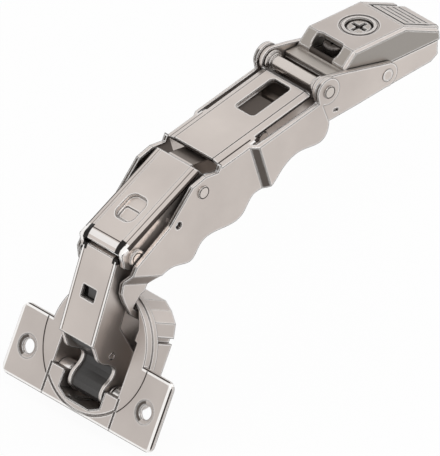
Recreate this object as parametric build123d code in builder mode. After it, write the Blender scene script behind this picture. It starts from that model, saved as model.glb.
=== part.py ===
from build123d import *
from math import atan2, cos, degrees, hypot, radians, sin
import os

# Wide-angle concealed cabinet hinge, opened as far as it goes.
# The origin is the middle of the flat seat under the arm, +X runs along the arm to its
# rear, +Z points away from the cabinet side and the two halves mirror about Y = 0.

# Pivots of the linkage, seen from the side (x, z)
base_pivot = (-43.1, -4.25)
crank_pivot = (-3.0, 0.9)
knee_pivot = (-25.6, 5.7)
cross_pivot = (-69.0, -8.2)
head_pivot = (-90.7, -20.5)
cup_middle = (-96.0, -49.3)
cup_tilt = 155.0
link_seat = (-11.0, -5.0)
finger_seat = (12.0, -6.0)

# Sheet, pins and running gaps
sheet = 1.4
pin_r = 1.5
running_gap = 0.05
head_r = 1.9
head_height = 0.5
open_gap = 0.3

# Half widths of the nested channels
link_half = 6.5
link_gap = 0.3
middle_half = link_half + link_gap + sheet
main_gap = 0.8
main_half_low = middle_half + head_height + main_gap + sheet
joggle = 1.6
main_half_high = main_half_low + joggle
crank_gap = 0.2
crank_half = main_half_high - sheet - crank_gap
arm_gap = 0.3
arm_half = crank_half - sheet - arm_gap
nose_half = 6.0
neck_half = 4.3

# Cup and flange
cup_r = 17.5
cup_depth = 12.6
flange_width = 57.2
flange_low = -19.0
flange_high = 1.0
flange_thick = 1.5
screw_line = -9.5
screw_spacing = 45.0
screw_hole_r = 2.0
screw_sink_r = 3.3
screw_sink_angle = 130.0
mouth_half = 12.4
mouth_low = -16.6
cavity_r = 16.8
body_r = 17.3
rim_r = 17.2
shoulder_line = -9.9
slot_half = 7.9
link_pin_half = 11.4
collar_depth = 4.2
collar_top = 2.3
floor_thick = 0.8
groove_r = 18.4
groove_depth = 0.3
field_half = 12.9

# Arm
arm_rear = 16.4
depth_screw_x = -3.3
side_screw_x = -11.6
side_head_r = 3.4

os.makedirs("parts", exist_ok=True)


def vec(p):
    return Vector(p[0], 0, p[1])


def lever_plane(start, end, y=0.0):
    # Local x runs from one pivot to the next, local y points to the outside of the fold.
    run = (vec(end) - vec(start)).normalized()
    return Plane(origin=vec(start) + Vector(0, y, 0), x_dir=run, z_dir=(0, 1, 0))


def lever_plan(start, end):
    # The same lever seen from the outside: local x along it, local y across it.
    side = lever_plane(start, end)
    return Plane(origin=side.origin, x_dir=side.x_dir, z_dir=side.y_dir)


def local_point(start, end, target):
    q = lever_plane(start, end).to_local_coords(vec(target))
    return (q.X, q.Y)


def span(a, b):
    return hypot(b[0] - a[0], b[1] - a[1])


def tilted(u, n):
    # A point of the cup's section: u up the flange, n out of its face.
    a = radians(cup_tilt)
    return (cup_middle[0] + u * sin(a) + n * cos(a), cup_middle[1] - u * cos(a) + n * sin(a))


link_pivot = tilted(*link_seat)
finger_pivot = tilted(*finger_seat)


def pin_along_y(centre, r, low, high):
    # A plain round bar across the hinge.
    with BuildPart() as bar:
        with BuildSketch(Plane(origin=(centre[0], low, centre[1]), x_dir=(1, 0, 0), z_dir=(0, 1, 0))):
            Circle(r)
        extrude(amount=high - low)
    return bar.part


def headed_pin(centre, r, half, head=head_r, height=head_height):
    # A rivet pin: the shank across the levers and a low head on each outer side.
    with BuildPart() as rivet:
        with BuildSketch(Plane(origin=(centre[0], 0, centre[1]), x_dir=(1, 0, 0), z_dir=(0, 1, 0))):
            Circle(r)
        extrude(amount=half, both=True)
        for side in (-1, 1):
            with BuildSketch(Plane(origin=(centre[0], side * half, centre[1]), x_dir=(1, 0, 0), z_dir=(0, side, 0))):
                Circle(head)
            extrude(amount=height)
        fillet(rivet.edges().filter_by(GeomType.CIRCLE).sort_by(Axis.Y)[0], head_height * 0.6)
        fillet(rivet.edges().filter_by(GeomType.CIRCLE).sort_by(Axis.Y)[-1], head_height * 0.6)
    return rivet.part


def save(part, name):
    part.label = name
    export_step(part, "parts/" + name + ".step")


# Main lever: the scalloped outer channel, with a slot inside each wall for the crank plates
main_plane = lever_plane(knee_pivot, cross_pivot)
main_plan = lever_plan(knee_pivot, cross_pivot)
main_span = span(knee_pivot, cross_pivot)
finger_at = local_point(knee_pivot, cross_pivot, finger_pivot)
ear_r = 3.9
web_start = (3.8, 0.6)
web_end = (main_span - 8.1, 3.7)
joggle_at = 25.6
joggle_run = 2.0
crank_slot_end = 24.0
web_flank = 9.2
slot_drop = 1.7
web_flat = 7.3
web_slope = 0.4
window_start = 5.2
window_end = 19.2
window_half = 3.6
finger_eye_r = 2.0
finger_half = 8.5
finger_pin_r = 1.1
finger_bend_from = (62.5, -16.5)
finger_bend_to = (73.0, -8.5)
finger_bend_run = 3.2
scallops = [(2.6, -9.0), (6.7, -12.7), (13.9, -10.4), (21.7, -11.7), (26.4, -13.7), (30.4, -13.2),
            (35.6, -16.3), (43.0, -15.5), (51.0, -14.7), (54.8, -17.2), (60.5, -15.0), (65.2, -14.5),
            (67.6, -15.2), (70.2, -17.3)]


def web_at(s):
    return web_start[1] + (web_end[1] - web_start[1]) * (s - web_start[0]) / (web_end[0] - web_start[0])


def main_widths(high, low):
    # The plan of the channel: wide at the crank end, stepping in at the joggle.
    with BuildPart() as block:
        with BuildSketch(main_plan.offset(-50)):
            with BuildLine():
                Polyline((-12, -high), (joggle_at, -high), (joggle_at + joggle_run, -low), (95, -low),
                         (95, low), (joggle_at + joggle_run, low), (joggle_at, high), (-12, high), close=True)
            make_face()
        extrude(amount=100)
        # Below the slanting bend the walls step inward to the fingers.
        bend = (Vector(*finger_bend_to) - Vector(*finger_bend_from)).normalized()
        bend_mid = (Vector(*finger_bend_from) + Vector(*finger_bend_to)) / 2
        bend_plane = Plane(origin=main_plane.from_local_coords(bend_mid), x_dir=(0, 1, 0),
                           z_dir=main_plane.x_dir * bend.X + main_plane.y_dir * bend.Y)
        inward = low - (main_half_low - finger_half)
        for side in (-1, 1):
            with BuildSketch(bend_plane.offset(-10)):
                with BuildLine():
                    Polyline((side * (low + 0.01), 0), (side * inward, finger_bend_run), (side * inward, 40),
                             (side * 16, 40), (side * 16, 0), close=True)
                make_face()
            extrude(amount=42, mode=Mode.SUBTRACT)
    return block.part


with BuildPart() as main_cavity:
    with BuildSketch(main_plane):
        with BuildLine():
            Polyline((-12, -40), (95, -40), (95, 20), (web_end[0] + 0.1, 20),
                     (web_end[0] + 0.1, web_end[1] - sheet), (web_start[0] - 0.1, web_start[1] - sheet),
                     (web_start[0] - 0.1, 20), (-12, 20), close=True)
        make_face()
    extrude(amount=main_half_high, both=True)
    add(main_widths(main_half_high - sheet, main_half_low - sheet), mode=Mode.INTERSECT)
with BuildPart() as main_lever:
    with BuildSketch(main_plane):
        with BuildLine():
            Spline(*scallops)
            Polyline(scallops[-1], (71.9, -17.4), (75.3, -19.4), (73.6, -22.6), (finger_at[0] - 1.3, finger_at[1] + 1.5),
                     (finger_at[0] + 1.5, finger_at[1] - 1.3), (76.6, -21.2), (77.3, -16.5), (77.5, -13.0),
                     (75.6, -9.4), (72.0, -6.1), (58.4, -2.4),
                     (main_span + 2.6, 3.6), (main_span - 2.3, 3.6), (main_span - 6.4, 1.9), web_end,
                     (crank_slot_end, web_at(crank_slot_end)), (crank_slot_end - 1.0, web_at(crank_slot_end) - slot_drop),
                     (web_start[0] + 1.0, web_start[1] - slot_drop), (ear_r * 0.8, 0), scallops[0])
        make_face()
        Circle(ear_r)
        with Locations(finger_at):
            Circle(finger_eye_r)
    extrude(amount=main_half_high, both=True)
    with BuildSketch(main_plane):
        with BuildLine():
            Polyline(web_start, (web_start[0], web_start[1] - sheet), (web_end[0], web_end[1] - sheet), web_end,
                     close=True)
        make_face()
    extrude(amount=web_flank, both=True)
    add(main_widths(main_half_high, main_half_low), mode=Mode.INTERSECT)
    add(main_cavity.part, mode=Mode.SUBTRACT)
    web_from = main_plane.from_local_coords(web_start)
    web_way = main_plane.from_local_coords(web_end) - web_from
    for side in (-1, 1):
        with BuildSketch(Plane(origin=web_from, x_dir=(0, 1, 0), z_dir=web_way)):
            with BuildLine():
                Polyline((side * web_flat, 0), (side * 14, (14 - web_flat) * web_slope), (side * 14, -6),
                         (side * web_flat, -6), close=True)
            make_face()
        extrude(amount=web_way.length + 0.1, mode=Mode.SUBTRACT)
    with BuildSketch(main_plan.offset(-3)):
        for side in (-1, 1):
            with Locations(((crank_slot_end - 12) / 2, side * (web_flank + main_half_high - sheet) / 2)):
                Rectangle(crank_slot_end + 12, main_half_high - sheet - web_flank)
    extrude(amount=20, mode=Mode.SUBTRACT)
    with BuildSketch(main_plan.offset(-3)):
        with Locations(((window_start + window_end) / 2, 0)):
            RectangleRounded(window_end - window_start, 2 * window_half, 1.2)
    extrude(amount=20, mode=Mode.SUBTRACT)
    for spot, r in (((0, 0), pin_r), ((main_span, 0), pin_r + running_gap), ((main_span + 10.2, -3.9), 1.0),
                    (finger_at, finger_pin_r)):
        with BuildSketch(main_plane):
            with Locations(spot):
                Circle(r)
        extrude(amount=30, both=True, mode=Mode.SUBTRACT)
save(main_lever.part, "main_lever")

# Pins of the main lever, and the sleeve that rolls on the crank pin
sleeve_r = 3.25
sleeve_half = crank_half - sheet - 0.2
save(headed_pin(knee_pivot, pin_r, main_half_high), "crank_pin")
save(headed_pin(finger_pivot, finger_pin_r, finger_half, finger_pin_r + 0.5), "finger_pin")
with BuildPart() as crank_sleeve:
    with BuildSketch(main_plane):
        Circle(sleeve_r)
        Circle(pin_r + running_gap, mode=Mode.SUBTRACT)
    extrude(amount=sleeve_half, both=True)
save(crank_sleeve.part, "crank_sleeve")

# Crank plates: the twin links between the arm and the main lever
crank_plane = lever_plane(crank_pivot, knee_pivot)
crank_span = span(crank_pivot, knee_pivot)
crank_eye_r = 3.4
with BuildPart() as crank_plate:
    with BuildSketch(lever_plane(crank_pivot, knee_pivot, crank_half - sheet)):
        with BuildLine():
            Polyline((0, 3.5), (16.7, 3.6), (crank_span, crank_eye_r), (crank_span + 2.6, -2.0), (21.4, -8.6),
                     (19.5, -9.8), (10.0, -6.9), (0, -3.6), close=True)
        make_face()
        Circle(3.55)
        with Locations((crank_span, 0)):
            Circle(crank_eye_r)
            Circle(pin_r + running_gap, mode=Mode.SUBTRACT)
        Circle(pin_r, mode=Mode.SUBTRACT)
    extrude(amount=sheet)
    with BuildSketch(lever_plane(crank_pivot, knee_pivot, crank_half)):
        with Locations((17.5, -6.8)):
            Rectangle(1.6, 0.7)
    extrude(amount=-0.5, mode=Mode.SUBTRACT)
save(crank_plate.part, "crank_plate_left")
save(mirror(crank_plate.part, about=Plane.XZ), "crank_plate_right")
with BuildPart() as crank_studs:
    for side in (-1, 1):
        with BuildSketch(lever_plane(crank_pivot, knee_pivot, side * (arm_half + open_gap))):
            Circle(pin_r)
        extrude(amount=side * (crank_half - arm_half - open_gap))
        with BuildSketch(lever_plane(crank_pivot, knee_pivot, side * crank_half)):
            Circle(head_r)
        extrude(amount=side * 0.15)
save(crank_studs.part, "crank_studs")

# Middle lever: the inner channel with its narrow neck to the arm
middle_plane = lever_plane(cross_pivot, head_pivot)
middle_plan = lever_plan(cross_pivot, head_pivot)
middle_span = span(cross_pivot, head_pivot)
base_at = local_point(cross_pivot, head_pivot, base_pivot)
middle_web = 4.4
middle_web_end = 4.9
middle_start = -3.2
middle_flat = 5.5
fold_drop = 0.9
pocket_at = 15.2
pocket_long = 8.4
pocket_wide = 6.8
pocket_round = 2.4
pocket_depth = 0.8
middle_eye_r = 4.4
roll_end = radians(40)
roll_reach = 3.0
head_boss_r = 2.5
head_boss_height = 1.0
neck_eye_r = 3.2
with BuildPart() as middle_cavity:
    with BuildSketch(middle_plane):
        with BuildLine():
            Polyline((middle_start - 6, -12), (middle_span + 12, -12), (middle_span + 12, 12),
                     (middle_span + roll_reach * (middle_web_end - sheet) * sin(roll_end),
                      roll_reach * (middle_web_end - sheet) * cos(roll_end)),
                     (middle_span + (middle_web_end - sheet) * sin(roll_end),
                      (middle_web_end - sheet) * cos(roll_end)))
            CenterArc((middle_span, 0), middle_web_end - sheet, 90 - degrees(roll_end), degrees(roll_end))
            Polyline((middle_span, middle_web_end - sheet), (middle_start - 6, middle_web - sheet),
                     (middle_start - 6, -12))
        make_face()
    extrude(amount=middle_half - sheet, both=True)
with BuildPart() as middle_lever:
    with BuildSketch(middle_plane):
        with BuildLine():
            Polyline((middle_start, middle_web), (middle_span, middle_web_end))
            CenterArc((middle_span, 0), middle_web_end, 90 - degrees(roll_end), degrees(roll_end))
            Polyline((middle_span + middle_web_end * sin(roll_end), middle_web_end * cos(roll_end)),
                     (middle_span + middle_eye_r, 0), (middle_span + 2.8, -3.4), (middle_span, -middle_eye_r),
                     (14, -3.2), (0, -middle_eye_r), (-3.0, -3.3), (-4.2, 0), (middle_start, middle_web))
        make_face()
    extrude(amount=middle_half, both=True)
    fold_from = middle_plane.from_local_coords((middle_start, middle_web))
    fold_way = middle_plane.from_local_coords((middle_span, middle_web_end)) - fold_from
    fold_plane = Plane(origin=fold_from, x_dir=(0, 1, 0), z_dir=fold_way)
    for side in (-1, 1):
        with BuildSketch(fold_plane.offset(-3)):
            with BuildLine():
                Polyline((side * middle_flat, 0), (side * middle_half, fold_drop),
                         (side * (middle_half + 2), fold_drop), (side * (middle_half + 2), -6),
                         (side * middle_flat, -6), close=True)
            make_face()
        extrude(amount=fold_way.length + 8, mode=Mode.SUBTRACT)
    add(middle_cavity.part, mode=Mode.SUBTRACT)
    # The pocket is stamped down from the web.
    with BuildSketch(middle_plan.offset(middle_web - sheet - pocket_depth)):
        with Locations((pocket_at, 0)):
            RectangleRounded(pocket_long + 1.6, pocket_wide + 1.6, pocket_round + 0.8)
    extrude(amount=sheet + pocket_depth - 0.2)
    with BuildSketch(middle_plan.offset(middle_web - pocket_depth)):
        with Locations((pocket_at, 0)):
            RectangleRounded(pocket_long, pocket_wide, pocket_round)
    extrude(amount=5, mode=Mode.SUBTRACT)
    with BuildSketch(middle_plan.offset(middle_web - pocket_depth - 0.35)):
        with Locations((pocket_at + 1.6, 0)):
            RectangleRounded(pocket_long - 4.6, pocket_wide - 1.6, 0.8)
    extrude(amount=5, mode=Mode.SUBTRACT)
    with BuildSketch(middle_plane):
        with BuildLine():
            Polyline((2.0, middle_web), (2.0, -1.0), (-4.0, -2.0), (-8.4, -5.6),
                     (base_at[0] + 1.0, base_at[1] - neck_eye_r + 0.2),
                     (base_at[0] - 1.4, base_at[1] + neck_eye_r - 0.3),
                     (-8.2, 0.1), (-4.0, 3.0), (-1.5, middle_web), close=True)
        make_face()
        with Locations(base_at):
            Circle(neck_eye_r)
    extrude(amount=neck_half, both=True)
    with BuildSketch(middle_plane):
        with BuildLine():
            Polyline((2.1, 3.0), (2.1, -12), (base_at[0] + 3, -22), (base_at[0] - 6, -20),
                     (base_at[0] - 6, base_at[1] + neck_eye_r - 1.6), (-8.0, -1.5), (-4.0, 1.4), (-1.5, 3.0),
                     close=True)
        make_face()
    extrude(amount=neck_half - sheet, both=True, mode=Mode.SUBTRACT)
    for spot in ((0, 0), (middle_span, 0), base_at):
        with BuildSketch(middle_plane):
            with Locations(spot):
                Circle(pin_r)
        extrude(amount=30, both=True, mode=Mode.SUBTRACT)
save(middle_lever.part, "middle_lever")
save(headed_pin(base_pivot, pin_r, nose_half), "base_pin")
save(headed_pin(cross_pivot, pin_r, main_half_low), "cross_pin")
save(headed_pin(head_pivot, pin_r, middle_half, head_boss_r, head_boss_height), "head_pin")

# Link channel: from the head of the middle lever down into the cup
link_plane = lever_plane(head_pivot, link_pivot)
link_plan = lever_plan(head_pivot, link_pivot)
link_span = span(head_pivot, link_pivot)
link_wall = 1.25
link_web_start = (0.6, 4.7)
link_web_end = (25.0, 9.9)
swan_neck = [(28.6, 7.7), (31.7, 3.6), (33.0, 1.2), (34.3, 0.4), (35.7, 0.7), (37.0, 1.7), (38.2, 3.2), (40.0, 4.2),
             (42.3, 4.1)]
switch_long = 3.4
switch_wide = 5.0
switch_at = 12.4
with BuildPart() as link_channel:
    with BuildSketch(link_plane):
        with BuildLine():
            Polyline((0, 3.2), link_web_start, link_web_end, (25.4, 9.3), swan_neck[0])
            Spline(*swan_neck)
            Polyline(swan_neck[-1], (link_span + 3.5, 2.0), (link_span + 3.2, -1.8), (link_span, -3.8),
                     (32.9, -5.1), (30.2, -5.8), (21.5, 0.4), (4.0, -3.4), (0, -3.2), (0, 3.2))
        make_face()
        Circle(3.2)
    extrude(amount=link_half, both=True)
    with BuildSketch(link_plane):
        with BuildLine():
            Polyline((-10, -12), (60, -12), (60, 12), (link_web_end[0] + 0.2, 12),
                     (link_web_end[0] + 0.2, link_web_end[1] - sheet),
                     (link_web_start[0] - 0.1, link_web_start[1] - sheet),
                     (-10, link_web_start[1] - sheet), close=True)
        make_face()
    extrude(amount=link_half - link_wall, both=True, mode=Mode.SUBTRACT)
    with BuildSketch(link_plan.offset(2)):
        with Locations((switch_at, 0)):
            RectangleRounded(switch_long, switch_wide, 0.3)
    extrude(amount=20, mode=Mode.SUBTRACT)
    for spot in ((0, 0), (link_span, 0)):
        with BuildSketch(link_plane):
            with Locations(spot):
                Circle(pin_r + running_gap)
        extrude(amount=30, both=True, mode=Mode.SUBTRACT)
save(link_channel.part, "link_channel")

# Damper housing: the dark block carried between the link's walls, and its switch in the window
damper_half = link_half - link_wall
switch_travel = 1.0
with BuildPart() as damper_housing:
    with BuildSketch(link_plane):
        with BuildLine():
            Polyline((6.0, 3.2), (24.6, 7.2), (28.0, 6.6), (31.2, 3.0), (32.6, 0.8), (34.2, -0.2), (36.0, 0.2),
                     (37.2, 1.1), (38.6, 2.7), (40.2, 3.8), (42.1, 3.8), (link_span + 3.1, 1.8),
                     (link_span + 2.8, -1.6), (link_span, -3.4), (32.9, -4.4), (30.2, -5.0), (21.5, 1.0), (6.0, -1.0),
                     close=True)
        make_face()
    extrude(amount=damper_half, both=True)
    with BuildSketch(link_plane):
        with Locations((link_span, 0)):
            Circle(pin_r + running_gap)
    extrude(amount=30, both=True, mode=Mode.SUBTRACT)
    with BuildSketch(link_plan.offset(3.2)):
        with Locations((switch_at, 0)):
            Rectangle(switch_long - 0.2, switch_wide - 0.2)
    extrude(amount=20, mode=Mode.SUBTRACT)
save(damper_housing.part, "damper_housing")
with BuildPart() as damper_switch:
    with BuildSketch(link_plan.offset(3.3)):
        with Locations((switch_at, 0.55)):
            Rectangle(switch_long - 0.4, switch_wide - 0.5 - switch_travel)
    extrude(amount=2.7)
save(damper_switch.part, "damper_switch")

# Cup: die-cast boss, flange plate and bearing shoulders
cup_out = Vector(cos(radians(cup_tilt)), 0, sin(radians(cup_tilt)))
cup_plane = Plane(origin=vec(cup_middle), x_dir=(0, -1, 0), z_dir=cup_out)
flange_mid = (flange_low + flange_high) / 2
with BuildPart() as cup:
    with BuildSketch(cup_plane.offset(-flange_thick)):
        with Locations((0, flange_mid)):
            RectangleRounded(flange_width, flange_high - flange_low, 2.2)
    extrude(amount=flange_thick)
    fillet(cup.faces().sort_by(Axis((0, 0, 0), cup_out))[-1].edges(), 0.7)
    with BuildSketch(cup_plane.offset(-collar_depth)):
        Circle(cup_r)
    extrude(amount=collar_depth - collar_top)
    with BuildSketch(cup_plane.offset(-collar_top)):
        Circle(rim_r)
    extrude(amount=collar_top)
    with BuildSketch(cup_plane.offset(-cup_depth)):
        with BuildLine():
            Polyline((-13.4, -10.6), (-13.4, 6.6), (-12.2, 6.6), (-12.2, 8.2), (-13.4, 8.2), (-12.4, 12.0),
                     (-9.6, 14.6), (-6.5, 16.25), (6.5, 16.25), (9.6, 14.6), (12.4, 12.0), (13.4, 8.2), (12.2, 8.2),
                     (12.2, 6.6), (13.4, 6.6), (13.4, -10.6))
            ThreePointArc((13.4, -10.94), (0, -body_r), (-13.4, -10.94))
            Line((13.4, -10.6), (13.4, -10.94))
            Line((-13.4, -10.94), (-13.4, -10.6))
        make_face()
    extrude(amount=cup_depth - collar_depth)
    with BuildSketch(cup_plane.offset(-cup_depth + floor_thick)):
        with BuildLine():
            Polyline((-slot_half, mouth_low + 1.8), (-slot_half + 3.4, mouth_low), (slot_half - 3.4, mouth_low),
                     (slot_half, mouth_low + 1.8), (slot_half, shoulder_line), (mouth_half, shoulder_line),
                     (mouth_half, 6.0), (11.4, 6.2), (11.4, 9.6), (9.3, 13.9), (6.4, 15.5), (-6.4, 15.5), (-9.3, 13.9),
                     (-11.4, 9.6), (-11.4, 6.2), (-mouth_half, 6.0), (-mouth_half, shoulder_line),
                     (-slot_half, shoulder_line), close=True)
        make_face()
    extrude(amount=cup_depth, mode=Mode.SUBTRACT)
    with BuildSketch(cup_plane.offset(-cup_depth + floor_thick)):
        Circle(cavity_r)
        with Locations((0, mouth_low + 2 + 20)):
            Rectangle(60, 40, mode=Mode.SUBTRACT)
        with Locations((0, 0)):
            Rectangle(2 * slot_half - 0.6, 60, mode=Mode.INTERSECT)
    extrude(amount=cup_depth - floor_thick - flange_thick, mode=Mode.SUBTRACT)
    # A fine groove marks the round dish on the flange.
    with BuildSketch(cup_plane.offset(-groove_depth)):
        Circle(groove_r + 0.2)
        Circle(groove_r - 0.2, mode=Mode.SUBTRACT)
        with Locations((0, flange_low / 2 - 5)):
            Rectangle(2 * field_half, -flange_low, mode=Mode.INTERSECT)
    extrude(amount=1, mode=Mode.SUBTRACT)
    with BuildSketch(cup_plane.offset(-groove_depth)):
        for side in (-1, 1):
            with Locations((side * field_half, (flange_low + shoulder_line) / 2)):
                Rectangle(0.4, shoulder_line - flange_low + 0.2)
    extrude(amount=1, mode=Mode.SUBTRACT)
    with Locations(cup_plane):
        with Locations((-screw_spacing / 2, screw_line), (screw_spacing / 2, screw_line)):
            CounterSinkHole(screw_hole_r, screw_sink_r, counter_sink_angle=screw_sink_angle)
    with BuildSketch(link_plane):
        with Locations((link_span, 0)):
            Circle(pin_r)
    extrude(amount=link_pin_half, both=True, mode=Mode.SUBTRACT)
save(cup.part, "cup")
save(pin_along_y(link_pivot, pin_r, -link_pin_half, link_pin_half), "cup_link_pin")

# Closing spring: one coil on each side of the link channel, round the link pin
spring_wide = 1.2
with BuildPart() as closing_spring:
    for side in (-1, 1):
        with BuildSketch(lever_plane(head_pivot, link_pivot, side * (link_half + running_gap))):
            with Locations((link_span, 0)):
                Circle(pin_r + 1.6)
                Circle(pin_r, mode=Mode.SUBTRACT)
        extrude(amount=side * spring_wide)
save(closing_spring.part, "closing_spring")

# Arm: the lower channel that sits on the mounting plate, with its nose to the base pivot
arm_wall = 1.4
nose_wall = nose_half - neck_half - 0.3
lever_bay_half = 7.0
lever_bay_from = 6.4
hook_from = 13.8
with BuildPart() as arm_channel:
    with BuildSketch(Plane.XZ):
        with BuildLine():
            Polyline((-22.4, -5.8), (-1.9, -4.0), (14.1, -2.6), (arm_rear, -1.2), (arm_rear, 3.0), (-0.8, 3.0),
                     (-16.5, 5.2), (-21.3, 5.2), close=True)
        make_face()
    extrude(amount=arm_half, both=True)
    with BuildSketch(Plane.XZ):
        with Locations((2.0, -5.0)):
            Rectangle(60, 10)
        with Locations((4.4, arm_wall + 5)):
            Rectangle(48, 10)
    extrude(amount=arm_half - arm_wall, both=True, mode=Mode.SUBTRACT)
    with BuildSketch(Plane.XZ):
        with BuildLine():
            Polyline((-18.0, arm_wall), (-32.0, arm_wall), (base_pivot[0], base_pivot[1] + 4.0),
                     (base_pivot[0], base_pivot[1] - 4.0), (-32.0, -6.6), (-21.0, -5.0), (-18.0, 0), close=True)
        make_face()
        with Locations(base_pivot):
            Circle(4.0)
    extrude(amount=nose_half, both=True)
    with BuildSketch(Plane.XZ):
        with Locations((-46.0, 0)):
            Rectangle(24, 24)
        with Locations((-30.0, -6.0)):
            Rectangle(40, 12)
    extrude(amount=nose_half - nose_wall, both=True, mode=Mode.SUBTRACT)
    with BuildSketch(Plane.XY.offset(-1)):
        with Locations((depth_screw_x, 0)):
            Circle(2.5 + running_gap)
        with Locations((side_screw_x, 0)):
            Circle(1.8 + running_gap)
        with Locations((hook_from + 10, 0)):
            Rectangle(20, 2 * lever_bay_half)
    extrude(amount=arm_wall + 1, mode=Mode.SUBTRACT)
    with BuildSketch(Plane.XZ):
        with Locations(base_pivot):
            Circle(pin_r + running_gap)
        with Locations(crank_pivot):
            Circle(pin_r + 0.3)
    extrude(amount=20, both=True, mode=Mode.SUBTRACT)
save(arm_channel.part, "arm_channel")

# Arm cover: the die-cast top with its screw seats and the rear bay of the release lever
shell = 1.6
roof = 11.45
brow = (-17.05, 7.75)
roof_front = -13.3
roof_rear = 5.0
tail = (16.9, 6.25)
edge_cut = 0.8
depth_hole_r = 3.8
depth_ring_r = 5.3
arch_half = 4.9
arch_front = -16.4
arch_rear = -12.8
clip_pivot = (9.4, 7.5)
clip_pin_r = 1.0
with BuildPart() as arm_cover:
    with BuildSketch(Plane.XZ):
        with BuildLine():
            Polyline((-21.0, 5.25), (-21.0, 6.5), (brow[0], 6.5), brow, (roof_front, roof), (roof_rear, roof), tail,
                     (tail[0] + 0.2, 3.05), (-0.8, 3.05), (-16.5, 5.25), close=True)
        make_face()
    extrude(amount=arm_half, both=True)
    rims = arm_cover.edges().filter_by(lambda e: abs(e.center().Y) > arm_half - 0.01 and e.center().Z > 8.0)
    chamfer(rims, edge_cut)
    with BuildSketch(Plane.XZ):
        with BuildLine():
            Polyline((-16.1, 2.0), (-16.1, 6.9), (-12.9, roof - shell), (roof_rear - 0.4, roof - shell),
                     (tail[0] - shell, tail[1] - 1.0), (tail[0] - shell, 2.0), close=True)
        make_face()
    extrude(amount=arm_half - arm_wall, both=True, mode=Mode.SUBTRACT)
    with BuildSketch(Plane.XY.offset(7.0)):
        with Locations(((arch_front + arch_rear) / 2, 0)):
            RectangleRounded(arch_rear - arch_front, 2 * arch_half, 1.4)
    extrude(amount=20, mode=Mode.SUBTRACT)
    with BuildSketch(Plane.XY.offset(roof - 3)):
        with Locations((depth_screw_x, 0)):
            Circle(depth_hole_r)
    extrude(amount=20, mode=Mode.SUBTRACT)
    with BuildSketch(Plane.XY.offset(roof - 0.25)):
        with Locations((depth_screw_x, 0)):
            Circle(depth_ring_r)
            Circle(depth_ring_r - 0.5, mode=Mode.SUBTRACT)
    extrude(amount=5, mode=Mode.SUBTRACT)
    with BuildSketch(Plane.XY.offset(2)):
        with Locations((lever_bay_from + 10, 0)):
            Rectangle(20, 2 * lever_bay_half)
    extrude(amount=20, mode=Mode.SUBTRACT)
    with BuildSketch(Plane.XZ):
        with Locations(clip_pivot):
            Circle(clip_pin_r)
    extrude(amount=arm_half - 0.6, both=True, mode=Mode.SUBTRACT)
save(arm_cover.part, "arm_cover")


def screw(x, head_radius, head_low, head_top, shaft_r, cross):
    # A turned screw with a cross recess in its head, its shaft ending in the arm's web.
    with BuildPart() as body:
        with BuildSketch(Plane(origin=(x, 0, head_low))):
            Circle(head_radius)
        extrude(amount=head_top - head_low)
        chamfer(body.edges().filter_by(GeomType.CIRCLE).sort_by(Axis.Z)[-1], 0.3)
        with BuildSketch(Plane(origin=(x, 0, 0.1))):
            Circle(shaft_r)
        extrude(amount=head_low - 0.1)
        with BuildSketch(Plane(origin=(x, 0, head_top))):
            Rectangle(cross, cross * 0.2)
            Rectangle(cross * 0.2, cross)
            Circle(cross * 0.18)
        extrude(amount=-1.3, taper=8, mode=Mode.SUBTRACT)
    return body.part


save(screw(depth_screw_x, depth_hole_r - 0.35, 8.6, roof - 0.5, 2.5, 5.0), "depth_screw")
save(screw(side_screw_x, side_head_r, 7.1, roof - shell - 0.15, 1.8, 3.6), "side_screw")

# Release lever at the rear of the arm, hung on its pin between the cover's rails
clip_half = 6.2
rib_count = 4
rib_pitch = 2.2
rib_from = 9.4
roof_fall = (roof - tail[1]) / (tail[0] - roof_rear)


def roof_at(x):
    return roof - roof_fall * (x - roof_rear)


with BuildPart() as clip_lever:
    with BuildSketch(Plane.XZ):
        with BuildLine():
            Polyline((7.2, 8.6), (7.2, roof_at(7.2)), (18.9, roof_at(18.9)), (19.5, 4.4), (18.5, 0.6), (18.8, -1.4),
                     (17.5, -2.5), (15.5, -1.4), (15.0, 2.6), (11.4, 5.2), (8.4, 6.0), close=True)
        make_face()
    extrude(amount=clip_half, both=True)
    for i in range(rib_count):
        groove_x = rib_from + i * rib_pitch
        with BuildSketch(Plane.XZ):
            with Locations((groove_x, roof_at(groove_x))):
                Rectangle(0.7, 0.8, rotation=-24)
        extrude(amount=clip_half - 0.8, both=True, mode=Mode.SUBTRACT)
    with BuildSketch(Plane.XZ):
        with Locations(clip_pivot):
            Circle(clip_pin_r + running_gap)
    extrude(amount=30, both=True, mode=Mode.SUBTRACT)
save(clip_lever.part, "clip_lever")
save(pin_along_y(clip_pivot, clip_pin_r, 0.6 - arm_half, arm_half - 0.6), "clip_pin")
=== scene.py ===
import bmesh
import bpy
from math import cos, pi, radians, sin
from mathutils import Matrix, Vector


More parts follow.
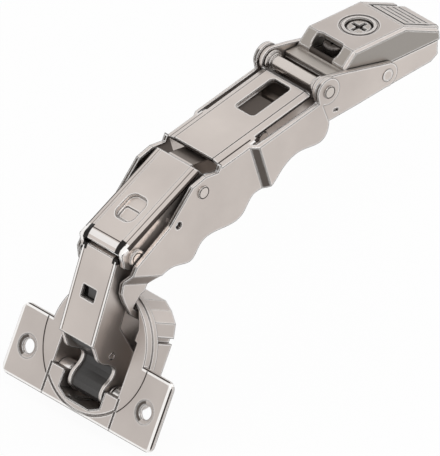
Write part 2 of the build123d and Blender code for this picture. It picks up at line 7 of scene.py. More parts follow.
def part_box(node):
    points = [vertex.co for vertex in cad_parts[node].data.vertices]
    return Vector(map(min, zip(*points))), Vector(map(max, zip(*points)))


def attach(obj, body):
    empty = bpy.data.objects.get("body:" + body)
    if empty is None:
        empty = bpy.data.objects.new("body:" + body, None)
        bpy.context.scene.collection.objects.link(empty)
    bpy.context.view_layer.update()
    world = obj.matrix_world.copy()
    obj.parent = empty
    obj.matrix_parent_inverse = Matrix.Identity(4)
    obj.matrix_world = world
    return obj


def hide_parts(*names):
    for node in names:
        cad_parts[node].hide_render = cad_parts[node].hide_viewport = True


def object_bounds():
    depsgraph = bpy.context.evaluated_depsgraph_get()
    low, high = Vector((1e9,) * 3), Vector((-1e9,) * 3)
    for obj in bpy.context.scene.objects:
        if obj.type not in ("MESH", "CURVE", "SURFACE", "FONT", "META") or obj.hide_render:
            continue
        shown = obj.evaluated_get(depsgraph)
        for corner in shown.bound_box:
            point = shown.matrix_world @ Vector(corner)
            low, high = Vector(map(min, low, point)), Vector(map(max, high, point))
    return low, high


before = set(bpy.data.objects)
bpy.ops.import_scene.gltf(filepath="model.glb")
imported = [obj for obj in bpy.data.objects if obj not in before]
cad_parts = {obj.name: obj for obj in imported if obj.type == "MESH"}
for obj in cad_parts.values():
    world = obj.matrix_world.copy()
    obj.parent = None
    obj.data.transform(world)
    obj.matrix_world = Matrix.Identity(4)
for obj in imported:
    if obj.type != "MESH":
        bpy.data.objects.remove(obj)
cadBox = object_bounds()
print("frame loaded")

mm = 0.001


# Pivots, read from the boxes of their pins, and the frame of each lever between two of them
def pivot(name):
    low, high = (Vector(corner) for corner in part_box(name))
    return (low + high) / 2


def leverFrame(start, along):
    # along runs down the lever and outward leaves it on the outer side of the fold
    along = along.normalized()
    return {"origin": start, "along": along, "outward": Vector((along.z, 0.0, -along.x))}


kneeAt, crossAt, headAt, linkAt = (pivot(name) for name in ("crank_pin", "cross_pin", "head_pin", "cup_link_pin"))
armFrame = leverFrame(Vector((0.0, 0.0, 0.0)), Vector((-1.0, 0.0, 0.0)))
mainFrame = leverFrame(kneeAt, crossAt - kneeAt)
middleFrame = leverFrame(crossAt, headAt - crossAt)
linkFrame = leverFrame(headAt, linkAt - headAt)

# The cup's frame starts in the middle of its dish and runs down the flange
cupPlace = {"tilt": radians(155), "up": 11, "out": 5}
cupDown = Vector((-sin(cupPlace["tilt"]), 0.0, cos(cupPlace["tilt"])))
cupFrame = leverFrame(linkAt, cupDown)
cupFrame["origin"] = linkAt - cupDown * cupPlace["up"] * mm + cupFrame["outward"] * cupPlace["out"] * mm


def newMaterial(name):
    mat = bpy.data.materials.new(name)
    mat.use_nodes = True
    return mat, mat.node_tree.nodes, mat.node_tree.links, mat.node_tree.nodes["Principled BSDF"]


def addNode(nodes, kind, **values):
    made = nodes.new(kind)
    for key, value in values.items():
        setattr(made, key, value)
    return made


def feed(links, node, values):
    # each value is a socket to link or a constant to set
    for socket, value in zip(node.inputs, values):
        if isinstance(value, bpy.types.NodeSocket):
            links.new(value, socket)
        else:
            socket.default_value = value
    return node


def maths(nodes, links, operation, *values):
    return feed(links, addNode(nodes, "ShaderNodeMath", operation=operation), values).outputs["Value"]


def vectorMaths(nodes, links, operation, *values):
    made = feed(links, addNode(nodes, "ShaderNodeVectorMath", operation=operation), values)
    return made.outputs["Value" if operation == "DOT_PRODUCT" else "Vector"]


def mapRange(nodes, links, source, low, high, toLow, toHigh):
    ramp = nodes.new("ShaderNodeMapRange")
    for key, value in (("From Min", low), ("From Max", high), ("To Min", toLow), ("To Max", toHigh)):
        ramp.inputs[key].default_value = value
    links.new(source, ramp.inputs["Value"])
    return ramp.outputs["Result"]


def mixColour(nodes, links, factor, first, second):
    mix = addNode(nodes, "ShaderNodeMix", data_type="RGBA")
    for key, value in (("A", first), ("B", second)):
        if isinstance(value, tuple):
            mix.inputs[key].default_value = value + (1.0,)
        else:
            links.new(value, mix.inputs[key])
    links.new(factor, mix.inputs["Factor"])
    return mix.outputs["Result"]


# Tones laid in boxes of the lever's own frame, the same on both sides of the hinge; most are painted shade and painted
# highlights
markSoft = 0.00003


def markedColour(nodes, links, place, look, colour):
    if not look["marks"]:
        return colour
    axes = look["frame"]
    local = nodes.new("ShaderNodeCombineXYZ")
    for socket, axis in (("X", axes["along"]), ("Y", Vector((0.0, 1.0, 0.0))), ("Z", axes["outward"])):
        value = maths(nodes, links, "SUBTRACT", vectorMaths(nodes, links, "DOT_PRODUCT", place, axis),
                      axes["origin"].dot(axis))
        if socket == "Y":
            value = maths(nodes, links, "ABSOLUTE", value)
        links.new(value, local.inputs[socket])
    for low, high, tone in look["marks"]:
        centre, reach = (Vector(low) + Vector(high)) / 2 * mm, (Vector(high) - Vector(low)) / 2 * mm
        away = vectorMaths(nodes, links, "ABSOLUTE", vectorMaths(nodes, links, "SUBTRACT", local.outputs[0], centre))
        parts = nodes.new("ShaderNodeSeparateXYZ")
        links.new(vectorMaths(nodes, links, "SUBTRACT", away, reach), parts.inputs[0])
        most = parts.outputs["X"]
        for socket in ("Y", "Z"):
            most = maths(nodes, links, "MAXIMUM", most, parts.outputs[socket])
        colour = mixColour(nodes, links, mapRange(nodes, links, most, -markSoft, markSoft, 1.0, 0.0), colour, tone)
    return colour


# How far the surface turns within a small radius, which is nothing away from edges
def edgeTurn(nodes, links, radius):
    rounded = addNode(nodes, "ShaderNodeBevel", samples=6)
    rounded.inputs["Radius"].default_value = radius
    surface = nodes.new("ShaderNodeNewGeometry")
    turn = vectorMaths(nodes, links, "DOT_PRODUCT", rounded.outputs["Normal"], surface.outputs["Normal"])
    return rounded, maths(nodes, links, "ARCCOSINE", turn)


# Nickel-plated metal: fine grain, slow changes of tone, painted highlights and painted shade lines along edges, painted
# shade on faces turned to some sides and painted shade in the hollows
def platedMetal(name, look):
    mat, nodes, links, shader = newMaterial(name)
    shader.inputs["Metallic"].default_value = look["metallic"]
    coords = nodes.new("ShaderNodeTexCoord")
    stretch = nodes.new("ShaderNodeMapping")
    stretch.inputs["Scale"].default_value = look["grainStretch"]
    links.new(coords.outputs["Object"], stretch.inputs["Vector"])
    grain = nodes.new("ShaderNodeTexNoise")
    grain.inputs["Scale"].default_value = look["grainScale"]
    grain.inputs["Detail"].default_value = look["grainDetail"]
    links.new(stretch.outputs["Vector"], grain.inputs["Vector"])
    patches = nodes.new("ShaderNodeTexNoise")
    patches.inputs["Scale"].default_value = look["patchScale"]
    patches.inputs["Detail"].default_value = look["patchDetail"]
    links.new(coords.outputs["Object"], patches.inputs["Vector"])
    colour = mixColour(nodes, links, mapRange(nodes, links, patches.outputs["Fac"], *look["patchSpan"], 0.0, 1.0),
                       look["dark"], look["light"])
    # painted shade: faces turned to some sides are darkened
    for axis, start, stop, tone in look["paintedFacingShade"]:
        facing = vectorMaths(nodes, links, "DOT_PRODUCT", coords.outputs["Normal"], axis)
        colour = mixColour(nodes, links, mapRange(nodes, links, facing, start, stop, 0.0, 1.0), colour, tone)
    # and a face within all its windows of direction takes a tone of its own; on the cup one such tone is painted shade
    for windows, tone in look["facing"]:
        share = None
        for axis, low, high in windows:
            facing = vectorMaths(nodes, links, "DOT_PRODUCT", coords.outputs["Normal"], axis)
            near = maths(nodes, links, "COMPARE", facing, (low + high) / 2, (high - low) / 2)
            share = near if share is None else maths(nodes, links, "MULTIPLY", share, near)
        colour = mixColour(nodes, links, share, colour, tone)
    # a painted highlight band on both sides of each edge, with a painted shade line on the edge itself
    rounded, turned = edgeTurn(nodes, links, look["edgeBand"])
    colour = mixColour(nodes, links, mapRange(nodes, links, turned, *look["edgeSpan"], 0.0, look["edgeShine"]),
                       colour, look["edgeHighlight"])
    turned = edgeTurn(nodes, links, look["edgeThin"])[1]
    colour = mixColour(nodes, links, mapRange(nodes, links, turned, *look["lineSpan"], 0.0, look["edgeShadeLine"]),
                       colour, look["paintedShade"])
    colour = markedColour(nodes, links, coords.outputs["Object"], look, colour)
    # painted shade: hollows darkened by ambient occlusion
    hollow = addNode(nodes, "ShaderNodeAmbientOcclusion", samples=8)
    hollow.inputs["Distance"].default_value = look["hollowReach"]
    shade = mapRange(nodes, links, hollow.outputs["AO"], look["hollowFrom"], look["hollowTo"], look["hollowShade"], 0.0)
    colour = mixColour(nodes, links, shade, colour, look["paintedShade"])
    links.new(colour, shader.inputs["Base Color"])
    links.new(mapRange(nodes, links, grain.outputs["Fac"], 0.0, 1.0, look["roughLow"], look["roughHigh"]),
              shader.inputs["Roughness"])
    bump = nodes.new("ShaderNodeBump")
    bump.inputs["Strength"].default_value = look["bump"]
    bump.inputs["Distance"].default_value = look["bumpDepth"]
    links.new(grain.outputs["Fac"], bump.inputs["Height"])
    links.new(rounded.outputs["Normal"], bump.inputs["Normal"])
    links.new(bump.outputs["Normal"], shader.inputs["Normal"])
    return mat


# Marks are boxes of (along, across, outward) in mm, painted and not shaped; most are painted shade and painted
# highlights
sheetLook = {"metallic": 0.85, "grainStretch": (1.0, 1.0, 1.0), "grainScale": 900.0, "grainDetail": 6.0,
             "patchScale": 45.0, "patchDetail": 3.0, "patchSpan": (0.3, 0.7),
             "dark": (0.555, 0.500, 0.466), "light": (0.655, 0.592, 0.550), "paintedFacingShade": [], "facing": [], "marks": [],
             "edgeBand": 0.00075, "edgeSpan": (0.05, 0.18), "edgeShine": 0.95, "edgeHighlight": (0.97, 0.955, 0.94),
             "edgeThin": 0.00034, "lineSpan": (0.08, 0.13), "edgeShadeLine": 0.9,
             "hollowReach": 0.005, "hollowFrom": 0.08, "hollowTo": 0.62, "hollowShade": 0.96,
             "paintedShade": (0.055, 0.042, 0.036), "roughLow": 0.24, "roughHigh": 0.40, "bump": 0.10, "bumpDepth": 0.00005}
# painted shade lines, painted shade in recesses, painted highlights and painted shadow in gaps
shadeLineTone, recessShadeTone, highlightTone = (0.05, 0.04, 0.035), (0.11, 0.09, 0.078), (0.95, 0.93, 0.91)
gapShadowTone = (0.02, 0.018, 0.017)
middleLength = (headAt - crossAt).length / mm

# painted shade on the arm's front face, and on its nose between the levers
armLook = dict(sheetLook, frame=armFrame, marks=[
    ((21.0, -1.0, -9.0), (22.6, 8.9, 5.1), recessShadeTone),
    ((22.6, -1.0, -9.0), (60.0, 5.93, 9.0), recessShadeTone)])

# painted shade lines along the folds of the web, painted shade on the insides of the crank slots and on the walls below
# the web, and painted shade on faces turned toward the cup end
mainLook = dict(sheetLook, frame=mainFrame, paintedFacingShade=[((-0.952, 0.0, -0.305), 0.28, 0.42, (0.10, 0.085, 0.075))], marks=[
    ((3.6, 7.18, 0.0), (37.6, 7.42, 6.0), shadeLineTone),
    ((-6.0, 9.17, -6.0), (25.0, 11.12, 1.5), shadeLineTone),
    ((25.6, 9.05, 0.0), (37.6, 9.4, 6.0), shadeLineTone),
    ((37.6, -1.0, -14.0), (50.0, 9.6, 3.0), recessShadeTone)])

# a painted highlight on the rolled end at the head pin with a painted shade line at its crease, painted shadow in its
# gap and a painted highlight beside it, painted shade lines along the folds, and painted shade on the neck beside the
# cross pin
middleLook = dict(sheetLook, frame=middleFrame, marks=[
    ((middleLength + 0.5, -1.0, 3.0), (middleLength + 2.1, 8.3, 6.0), (0.84, 0.81, 0.79)),
    ((middleLength - 0.1, -1.0, 3.0), (middleLength + 0.2, 8.3, 6.0), shadeLineTone),
    ((middleLength - 0.8, 5.2, 2.5), (middleLength + 5.0, 6.8, 6.0), gapShadowTone),
    ((middleLength - 0.6, 6.95, 2.0), (middleLength + 5.0, 7.9, 6.0), (0.92, 0.90, 0.88)),
    ((-3.0, 6.5, 3.0), (middleLength - 0.6, 6.7, 6.0), shadeLineTone),
    ((-3.2, 7.75, 3.0), (middleLength + 0.5, 8.3, 6.0), shadeLineTone),
    ((-20.0, -1.0, -14.0), (-4.3, 4.4, 6.0), (0.20, 0.17, 0.15))])

# painted shadow at the top corners, and a painted shade line and a painted highlight band along each fold
linkLook = dict(sheetLook, frame=linkFrame, marks=[
    ((-0.5, 4.9, 3.0), (2.0, 6.6, 6.0), gapShadowTone),
    ((1.2, 5.45, 4.0), (24.6, 5.65, 11.0), shadeLineTone),
    ((1.2, 5.85, 4.0), (24.6, 6.2, 11.0), highlightTone)])

castLook = dict(sheetLook, grainScale=1400.0, dark=(0.50, 0.45, 0.42), light=(0.585, 0.53, 0.495),
                roughLow=0.32, roughHigh=0.48, bump=0.16)

# an even tone on the countersinks' slopes with painted shade on one side of them, and a painted highlight band and a
# painted shade line round the flange
outOfDish = cupFrame["outward"]
cupLook = dict(castLook, frame=cupFrame,
               facing=[([(outOfDish, 0.86, 0.95)], (0.50, 0.45, 0.42)),
                       ([(outOfDish, 0.86, 0.95), ((0.0, -1.0, 0.0), 0.12, 1.0)], (0.10, 0.085, 0.075))],
               marks=[((18.2, -1.0, -3.0), (18.75, 28.1, 1.0), highlightTone),
                      ((18.75, -1.0, -0.6), (19.1, 29.0, 1.0), shadeLineTone),
                      ((-0.75, 17.0, -3.0), (-0.2, 28.1, 1.0), highlightTone),
                      ((-1.1, 17.0, -0.6), (-0.75, 29.0, 1.0), shadeLineTone),
                      ((-0.75, 27.5, -0.3), (18.75, 28.3, 1.0), highlightTone),
                      ((-1.1, 28.3, -0.5), (19.1, 29.0, 1.0), shadeLineTone)])

# an even tone on the plate before the cover, painted shade on the lip under the side screw's window and on the window's
# side walls, and painted shade on the cover's sides and on faces turned to the front
coverLook = dict(castLook, frame=armFrame,
                 marks=[((16.9, -1.0, 6.3), (21.3, 9.4, 6.7), (0.50, 0.46, 0.42)),
                        ((16.2, -1.0, 6.9), (17.3, 4.4, 8.75), (0.07, 0.058, 0.05)),
                        ((12.0, 4.6, 6.9), (17.0, 5.0, 10.9), (0.42, 0.385, 0.355))],
                 paintedFacingShade=[((0.0, -1.0, 0.0), 0.8, 0.95, (0.345, 0.32, 0.295)),
                         ((0.0, 1.0, 0.0), 0.8, 0.95, (0.345, 0.32, 0.295)),
                         ((-1.0, 0.0, 0.0), 0.45, 0.65, (0.36, 0.325, 0.295))])

pinLook = dict(sheetLook, grainStretch=(1.0, 0.15, 1.0), dark=(0.60, 0.55, 0.51), light=(0.70, 0.64, 0.60),
               roughLow=0.14, roughHigh=0.26, bump=0.05, edgeBand=0.0005)
screwLook = dict(sheetLook, dark=(0.40, 0.36, 0.33), light=(0.50, 0.455, 0.42), roughLow=0.2, roughHigh=0.34)
# dark finish of the groove rings and dish lines: painted shade of grooves
grooveShadeLook = dict(sheetLook, dark=(0.05, 0.042, 0.037), light=(0.08, 0.068, 0.06), edgeShine=0.0, metallic=0.6)
# a pale finish standing for a highlight: painted highlight on the cup's bearings and the mouth's lip
highlightLook = dict(pinLook, dark=(0.86, 0.83, 0.81), light=(0.95, 0.93, 0.91), hollowShade=0.6)
knobLook = dict(screwLook, dark=(0.10, 0.088, 0.08), light=(0.15, 0.13, 0.118), edgeShine=0.12)


def moulded(name, look):
    mat, nodes, links, shader = newMaterial(name)
    shader.inputs["IOR"].default_value = look["ior"]
    coords = nodes.new("ShaderNodeTexCoord")
    speck = nodes.new("ShaderNodeTexNoise")
    speck.inputs["Scale"].default_value = look["grainScale"]
    speck.inputs["Detail"].default_value = look["grainDetail"]
    links.new(coords.outputs["Object"], speck.inputs["Vector"])
    links.new(mixColour(nodes, links, speck.outputs["Fac"], look["dark"], look["light"]),
              shader.inputs["Base Color"])
    links.new(mapRange(nodes, links, speck.outputs["Fac"], 0.0, 1.0, look["roughLow"], look["roughHigh"]),
              shader.inputs["Roughness"])
    bump = nodes.new("ShaderNodeBump")
    bump.inputs["Strength"].default_value = look["bump"]
    bump.inputs["Distance"].default_value = look["bumpDepth"]
    links.new(speck.outputs["Fac"], bump.inputs["Height"])
    links.new(bump.outputs["Normal"], shader.inputs["Normal"])
    return mat


blackLook = {"ior": 1.46, "grainScale": 2200.0, "grainDetail": 4.0, "dark": (0.030, 0.028, 0.027),
             "light": (0.060, 0.057, 0.055), "roughLow": 0.30, "roughHigh": 0.46, "bump": 0.12, "bumpDepth": 0.00004}
greyLook = dict(blackLook, dark=(0.055, 0.053, 0.052), light=(0.10, 0.097, 0.095))

sheetSteel = platedMetal("sheetSteel", sheetLook)
armSteel = platedMetal("armSteel", armLook)
mainSteel = platedMetal("mainSteel", mainLook)
middleSteel = platedMetal("middleSteel", middleLook)
linkSteel = platedMetal("linkSteel", linkLook)
cupMetal = platedMetal("cupMetal", cupLook)
castMetal = platedMetal("castMetal", castLook)
coverMetal = platedMetal("coverMetal", coverLook)
turnedPin = platedMetal("turnedPin", pinLook)
screwSteel = platedMetal("screwSteel", screwLook)
knobMetal = platedMetal("knobMetal", knobLook)
grooveShadeMetal = platedMetal("grooveShadeMetal", grooveShadeLook)
highlightMetal = platedMetal("highlightMetal", highlightLook)
blackPlastic = moulded("blackPlastic", blackLook)
greyPlastic = moulded("greyPlastic", greyLook)

finishes = {"arm_channel": armSteel, "arm_cover": coverMetal, "clip_pin": turnedPin, "depth_screw": screwSteel,
            "side_screw": knobMetal, "clip_lever": castMetal, "middle_lever": middleSteel, "base_pin": turnedPin,
            "cross_pin": turnedPin, "head_pin": turnedPin, "main_lever": mainSteel, "crank_pin": turnedPin,
            "finger_pin": turnedPin, "crank_sleeve": turnedPin, "crank_plate_left": sheetSteel,
            "crank_plate_right": sheetSteel, "crank_studs": sheetSteel, "link_channel": linkSteel,
            "damper_housing": blackPlastic, "damper_switch": greyPlastic, "cup": cupMetal,
            "cup_link_pin": turnedPin, "closing_spring": turnedPin}
for name, finish in finishes.items():
    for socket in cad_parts[name].material_slots:
        socket.material = finish
print("finishes set")


# Rings and coils are Geometry Nodes trees, one piece for each body that carries them
def startTree(name, sizes):
    tree = bpy.data.node_groups.new(name, "GeometryNodeTree")
    for label, kind in sizes:
        tree.interface.new_socket(name=label, in_out="INPUT", socket_type=kind)
    tree.interface.new_socket(name="Geometry", in_out="OUTPUT", socket_type="NodeSocketGeometry")
    return tree, tree.nodes.new("NodeGroupInput"), tree.nodes.new("NodeGroupOutput")


def pairOnAxis(tree, given, shape):
    # two copies of a shape on one axis across the hinge, at plus and minus Half Spread
    line = tree.nodes.new("GeometryNodeMeshLine")
    line.mode = "END_POINTS"
    line.inputs["Count"].default_value = 2
    for sign, end in ((-1.0, "Start Location"), (1.0, "Offset")):
        spread = tree.nodes.new("ShaderNodeCombineXYZ")
        tree.links.new(given.outputs["Half Spread"], spread.inputs["Y"])
        tree.links.new(vectorMaths(tree.nodes, tree.links, "MULTIPLY_ADD", spread.outputs[0], (0.0, sign, 0.0),
                                   given.outputs["Centre"]), line.inputs[end])
    turn = tree.nodes.new("GeometryNodeTransform")
    turn.inputs["Rotation"].default_value = (pi / 2, 0.0, 0.0)
    tree.links.new(shape, turn.inputs["Geometry"])
    copies = tree.nodes.new("GeometryNodeInstanceOnPoints")
    tree.links.new(line.outputs["Mesh"], copies.inputs["Points"])
    tree.links.new(turn.outputs["Geometry"], copies.inputs["Instance"])
    return copies.outputs["Instances"]


def endTree(tree, given, shape, out):
    real = tree.nodes.new("GeometryNodeRealizeInstances")
    coat = tree.nodes.new("GeometryNodeSetMaterial")
    tree.links.new(shape, real.inputs["Geometry"])
    tree.links.new(real.outputs["Geometry"], coat.inputs["Geometry"])
    tree.links.new(given.outputs["Finish"], coat.inputs["Material"])
    tree.links.new(coat.outputs["Geometry"], out.inputs["Geometry"])


def growPiece(name, tree, values, body):
    # the tree's result becomes a plain mesh that rides its body
    seed = bpy.data.objects.new(name + "Seed", bpy.data.meshes.new(name + "Seed"))
    bpy.context.collection.objects.link(seed)
    grown = seed.modifiers.new("grow", "NODES")
    grown.node_group = tree
    for socket in tree.interface.items_tree:
        if socket.in_out == "INPUT" and socket.name in values:
            grown[socket.identifier] = values[socket.name]
    bpy.context.view_layer.update()
    mesh = bpy.data.meshes.new_from_object(seed.evaluated_get(bpy.context.evaluated_depsgraph_get()))
    mesh.name = name
    bpy.data.objects.remove(seed)
    piece = bpy.data.objects.new(name, mesh)
    bpy.context.collection.objects.link(piece)
    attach(piece, body)
    return piece


facets = {"ring": 48, "coil": 40, "wire": 10}
ringTree, given, out = startTree("ringPair", [
    ("Centre", "NodeSocketVector"), ("Half Spread", "NodeSocketFloat"), ("Ring Radius", "NodeSocketFloat"),
    ("Band Width", "NodeSocketFloat"), ("Band Height", "NodeSocketFloat"), ("Finish", "NodeSocketMaterial")])
loop = ringTree.nodes.new("GeometryNodeCurvePrimitiveCircle")
loop.inputs["Resolution"].default_value = facets["ring"]
ringTree.links.new(given.outputs["Ring Radius"], loop.inputs["Radius"])
band = ringTree.nodes.new("GeometryNodeCurvePrimitiveQuadrilateral")
ringTree.links.new(given.outputs["Band Width"], band.inputs["Width"])
ringTree.links.new(given.outputs["Band Height"], band.inputs["Height"])
sweep = ringTree.nodes.new("GeometryNodeCurveToMesh")
ringTree.links.new(loop.outputs["Curve"], sweep.inputs["Curve"])
ringTree.links.new(band.outputs["Curve"], sweep.inputs["Profile Curve"])
endTree(ringTree, given, pairOnAxis(ringTree, given, sweep.outputs["Mesh"]), out)

coilTree, given, out = startTree("coilPair", [
    ("Centre", "NodeSocketVector"), ("Half Spread", "NodeSocketFloat"), ("Coil Radius", "NodeSocketFloat"),
    ("Wire Radius", "NodeSocketFloat"), ("Turns", "NodeSocketFloat"), ("Coil Length", "NodeSocketFloat"),
    ("Finish", "NodeSocketMaterial")])
spiral = coilTree.nodes.new("GeometryNodeCurveSpiral")
spiral.inputs["Resolution"].default_value = facets["coil"]
coilTree.links.new(given.outputs["Turns"], spiral.inputs["Rotations"])
coilTree.links.new(given.outputs["Coil Radius"], spiral.inputs["Start Radius"])
coilTree.links.new(given.outputs["Coil Radius"], spiral.inputs["End Radius"])
coilTree.links.new(given.outputs["Coil Length"], spiral.inputs["Height"])
back = coilTree.nodes.new("ShaderNodeCombineXYZ")
coilTree.links.new(maths(coilTree.nodes, coilTree.links, "MULTIPLY", given.outputs["Coil Length"], -0.5),
                   back.inputs["Z"])
centred = coilTree.nodes.new("GeometryNodeTransform")
coilTree.links.new(spiral.outputs["Curve"], centred.inputs["Geometry"])
coilTree.links.new(back.outputs[0], centred.inputs["Translation"])
wire = coilTree.nodes.new("GeometryNodeCurvePrimitiveCircle")
wire.inputs["Resolution"].default_value = facets["wire"]
coilTree.links.new(given.outputs["Wire Radius"], wire.inputs["Radius"])
sweep = coilTree.nodes.new("GeometryNodeCurveToMesh")
sweep.inputs["Fill Caps"].default_value = True
coilTree.links.new(centred.outputs["Geometry"], sweep.inputs["Curve"])
coilTree.links.new(wire.outputs["Curve"], sweep.inputs["Profile Curve"])
endTree(coilTree, given, pairOnAxis(coilTree, given, sweep.outputs["Mesh"]), out)

springCoil = {"Coil Radius": 2.55 * mm, "Wire Radius": 0.24 * mm, "Turns": 2.0, "Coil Length": 0.5 * mm,
              "Half Spread": 7.15 * mm, "Finish": turnedPin}
springCoils = growPiece("spring_coils", coilTree, dict(springCoil, Centre=linkAt), "cup")
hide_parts("closing_spring")

linkRivet = {"Ring Radius": 0.95 * mm, "Band Width": 0.3 * mm, "Band Height": 0.24 * mm,
             "Half Spread": 6.5 * mm, "Finish": turnedPin, "along": 29.3 * mm, "aside": 2.3 * mm}
rivetAt = headAt + linkFrame["along"] * linkRivet.pop("along") + linkFrame["outward"] * linkRivet.pop("aside")
growPiece("link_rivets", ringTree, dict(linkRivet, Centre=rivetAt), "link")

# the body of each riveted pin, the y of its end face and the radius of the groove in it
# the groove rings are dark as painted shade in the grooves
pinGroove = {"Band Width": 0.24 * mm, "Band Height": 0.1 * mm, "Finish": grooveShadeMetal}
groovedPins = {"crank_pin": ("main", 13.0, 1.6), "cross_pin": ("middle", 11.4, 1.6), "head_pin": ("middle", 9.2, 1.5)}
for pinName, (body, face, size) in groovedPins.items():
    growPiece(pinName + "_grooves", ringTree, dict(pinGroove, **{
        "Centre": pivot(pinName), "Half Spread": face * mm, "Ring Radius": size * mm}), body)
print("coils and rings made")


# Turned pieces, spun from closed profiles of (radius, y) about an axis across the hinge
sharpFrom = radians(30)


def addPiece(name, mesh, finish, body):
    mesh.materials.append(finish)
    mesh.shade_smooth()
    mesh.set_sharp_from_angle(angle=sharpFrom)
    piece = bpy.data.objects.new(name, mesh)
    bpy.context.collection.objects.link(piece)
    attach(piece, body)
    return piece


def turnedPiece(name, profiles, centre, finish, body, sides=56):
    shape = bmesh.new()
    for profile in profiles:
        rings = []
        for i in range(sides):
            spoke = Vector((cos(2 * pi * i / sides), 0.0, sin(2 * pi * i / sides)))
            rings.append([shape.verts.new(centre + spoke * r * mm + Vector((0.0, y * mm, 0.0)))
                          for r, y in profile])
        for i in range(sides):
            here, there = rings[i], rings[(i + 1) % sides]
            for j in range(len(profile)):
                k = (j + 1) % len(profile)
                shape.faces.new((here[j], here[k], there[k], there[j]))
    bmesh.ops.recalc_face_normals(shape, faces=shape.faces)
    mesh = bpy.data.meshes.new(name)
    shape.to_mesh(mesh)
    shape.free()
    return addPiece(name, mesh, finish, body)


roller = {"bore": 1.53, "barrel": 1.85, "collar": 2.95, "step": 2.35, "half": 9.3, "collarWide": 1.0,
          "neckFrom": 0.75, "neckTo": 0.65, "stepTo": 0.05, "bevel": 0.2}
collarFrom = roller["half"] - roller["collarWide"]
halfProfile = [(roller["barrel"], collarFrom - roller["neckFrom"]), (roller["step"], collarFrom - roller["neckTo"]),
               (roller["step"], collarFrom - roller["stepTo"]), (roller["collar"] - roller["bevel"], collarFrom),
               (roller["collar"], collarFrom + roller["bevel"]), (roller["collar"], roller["half"] - roller["bevel"]),
               (roller["collar"] - roller["bevel"], roller["half"]), (roller["bore"], roller["half"])]
profile = halfProfile + [(r, -y) for r, y in reversed(halfProfile)]
kneeRoller = turnedPiece("knee_roller", [profile], kneeAt, turnedPin, "sleeve")
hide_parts("crank_sleeve")

bearing = {"bore": 1.53, "radius": 3.0, "from": 7.95, "to": 12.3, "bevel": 0.35}
profile = [(bearing["bore"], bearing["from"]), (bearing["radius"] - bearing["bevel"], bearing["from"]),
           (bearing["radius"], bearing["from"] + bearing["bevel"]), (bearing["radius"], bearing["to"]),
           (bearing["bore"], bearing["to"])]
# painted highlight: the bearings are pale
turnedPiece("cup_bearings", [profile, [(r, -y) for r, y in profile]], linkAt, highlightMetal, "cup")


# Fine lines of the casting, as round wires half sunk in it: the dish lines dark as painted shade of a groove, the
# mouth's lip pale as a painted highlight
def wirePiece(name, paths, radius, finish, body):
    data = bpy.data.curves.new(name, "CURVE")
    data.dimensions = "3D"
    data.bevel_depth = radius
    data.bevel_resolution = 2
    data.use_fill_caps = True
    for path in paths:
        spline = data.splines.new("POLY")
        spline.points.add(len(path) - 1)
        for point, at in zip(spline.points, path):
            point.co = (at.x, at.y, at.z, 1.0)
    seed = bpy.data.objects.new(name + "Seed", data)
    bpy.context.collection.objects.link(seed)
    bpy.context.view_layer.update()
    mesh = bpy.data.meshes.new_from_object(seed.evaluated_get(bpy.context.evaluated_depsgraph_get()))
    mesh.name = name
    mesh.materials.clear()
    bpy.data.objects.remove(seed)
    return addPiece(name, mesh, finish, body)


def onDish(y, up, out=0.0):
    # y across, up the flange and out of its face
    inFlange = cupFrame["origin"] + Vector((0.0, y * mm, 0.0)) - cupFrame["along"] * up * mm
    return inFlange + cupFrame["outward"] * out * mm


dishLine = {"radius": 18.9, "first": 2.0, "last": -44.5, "steps": 24, "thick": 0.16}
arcs = []
for side in (-1, 1):
    turns = [radians(dishLine["first"] + (dishLine["last"] - dishLine["first"]) * i / dishLine["steps"])
             for i in range(dishLine["steps"] + 1)]
    arcs.append([onDish(side * dishLine["radius"] * cos(t), dishLine["radius"] * sin(t)) for t in turns])
wirePiece("dish_lines", arcs, dishLine["thick"] * mm, grooveShadeMetal, "cup")

mouthLip = {"thick": 0.32, "sink": -0.12,
            "corners": [(-7.9, -10.1), (-7.9, -14.8), (-4.5, -16.6), (4.5, -16.6), (7.9, -14.8), (7.9, -10.1)]}
lipPath = [onDish(y, up, mouthLip["sink"]) for y, up in mouthLip["corners"]]
wirePiece("mouth_lip", [lipPath], mouthLip["thick"] * mm, highlightMetal, "cup")
print("roller, bearings and lines made")


# Floor, light and camera
studio = {"floorDrop": 0.0005, "floorSize": 3.0, "floorGlow": 0.94, "worldLevel": 0.72,
          "keyPlace": (-0.35, -0.55, 0.75), "keyPower": 1.6, "keySize": 0.4,
          "fillPlace": (0.6, -0.35, 0.45), "fillPower": 0.45, "fillSize": 0.5}


def seenRays(nodes, links):
    # 1 for what the camera, a reflection or a glass sees, 0 for the light itself
    rays = nodes.new("ShaderNodeLightPath")
    value = rays.outputs["Is Camera Ray"]
    for kind in ("Is Glossy Ray", "Is Transmission Ray"):
        value = maths(nodes, links, "MAXIMUM", value, rays.outputs[kind])
    return value


floorMat, nodes, links, shader = newMaterial("paleFloor")
shader.inputs["Base Color"].default_value = (1.0, 1.0, 1.0, 1.0)
shader.inputs["Roughness"].default_value = 0.9
glow = nodes.new("ShaderNodeEmission")
glow.inputs["Strength"].default_value = 1.0
share = maths(nodes, links, "MULTIPLY", seenRays(nodes, links), studio["floorGlow"])
blend = nodes.new("ShaderNodeMixShader")
links.new(share, blend.inputs[0])
links.new(shader.outputs[0], blend.inputs[1])
links.new(glow.outputs[0], blend.inputs[2])
links.new(blend.outputs[0], nodes["Material Output"].inputs["Surface"])
half = studio["floorSize"] / 2
level = cadBox[0][2] - studio["floorDrop"]
floorMesh = bpy.data.meshes.new("floor")
floorMesh.from_pydata([(-half, -half, level), (half, -half, level), (half, half, level), (-half, half, level)],
                      [], [(0, 1, 2, 3)])
floor = bpy.data.objects.new("floor", floorMesh)
bpy.context.collection.objects.link(floor)
floorMesh.materials.append(floorMat)

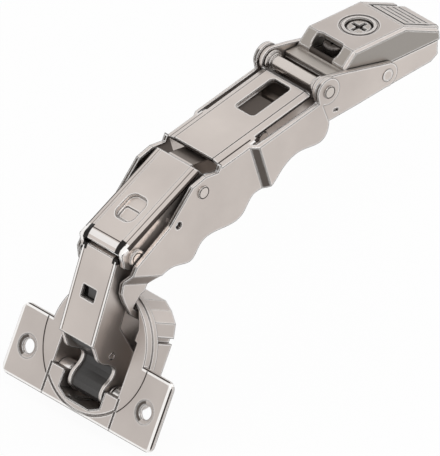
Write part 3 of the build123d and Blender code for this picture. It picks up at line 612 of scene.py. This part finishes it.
world = bpy.data.worlds.new("softRoom")
bpy.context.scene.world = world
world.use_nodes = True
nodes, links = world.node_tree.nodes, world.node_tree.links
lit = nodes["Background"]
lit.inputs["Color"].default_value = (1.0, 1.0, 1.0, 1.0)
lit.inputs["Strength"].default_value = studio["worldLevel"]
seen = nodes.new("ShaderNodeBackground")
seen.inputs["Color"].default_value = (1.0, 1.0, 1.0, 1.0)
seen.inputs["Strength"].default_value = 1.0
blend = nodes.new("ShaderNodeMixShader")
links.new(seenRays(nodes, links), blend.inputs[0])
links.new(lit.outputs[0], blend.inputs[1])
links.new(seen.outputs[0], blend.inputs[2])
links.new(blend.outputs[0], nodes["World Output"].inputs["Surface"])


def softbox(name, place, aim, size, power):
    data = bpy.data.lights.new(name, "AREA")
    data.shape = "SQUARE"
    data.size = size
    data.energy = power
    lamp = bpy.data.objects.new(name, data)
    bpy.context.collection.objects.link(lamp)
    lamp.location = place
    lamp.rotation_euler = (Vector(aim) - Vector(place)).to_track_quat("-Z", "Y").to_euler()


middle = (Vector(cadBox[0]) + Vector(cadBox[1])) / 2
softbox("keyBox", studio["keyPlace"], middle, studio["keySize"], studio["keyPower"])
softbox("fillBox", studio["fillPlace"], middle, studio["fillSize"], studio["fillPower"])

photoView = {"right": (0.7319, -0.6812, 0.0124), "up": (0.3474, 0.3883, 0.8536),
             "centre": (-0.06176, -0.00992, -0.02257), "pixelsHigh": 456, "pixelsPerMm": 3.8154,
             "away": 0.6, "near": 0.01, "far": 10.0}
right = Vector(photoView["right"]).normalized()
up = (Vector(photoView["up"]) - right * right.dot(Vector(photoView["up"]))).normalized()
back = right.cross(up)
lens = bpy.data.cameras.new("photoView")
lens.type = "ORTHO"
lens.ortho_scale = photoView["pixelsHigh"] / photoView["pixelsPerMm"] * mm
lens.clip_start = photoView["near"]
lens.clip_end = photoView["far"]
camera = bpy.data.objects.new("photoView", lens)
bpy.context.collection.objects.link(camera)
place = Vector(photoView["centre"]) + back * photoView["away"]
camera.matrix_world = Matrix.Translation(place) @ Matrix((right, up, back)).transposed().to_4x4()
bpy.context.scene.camera = camera
bpy.context.scene.view_settings.view_transform = "Standard"
print("stage, light and camera set")
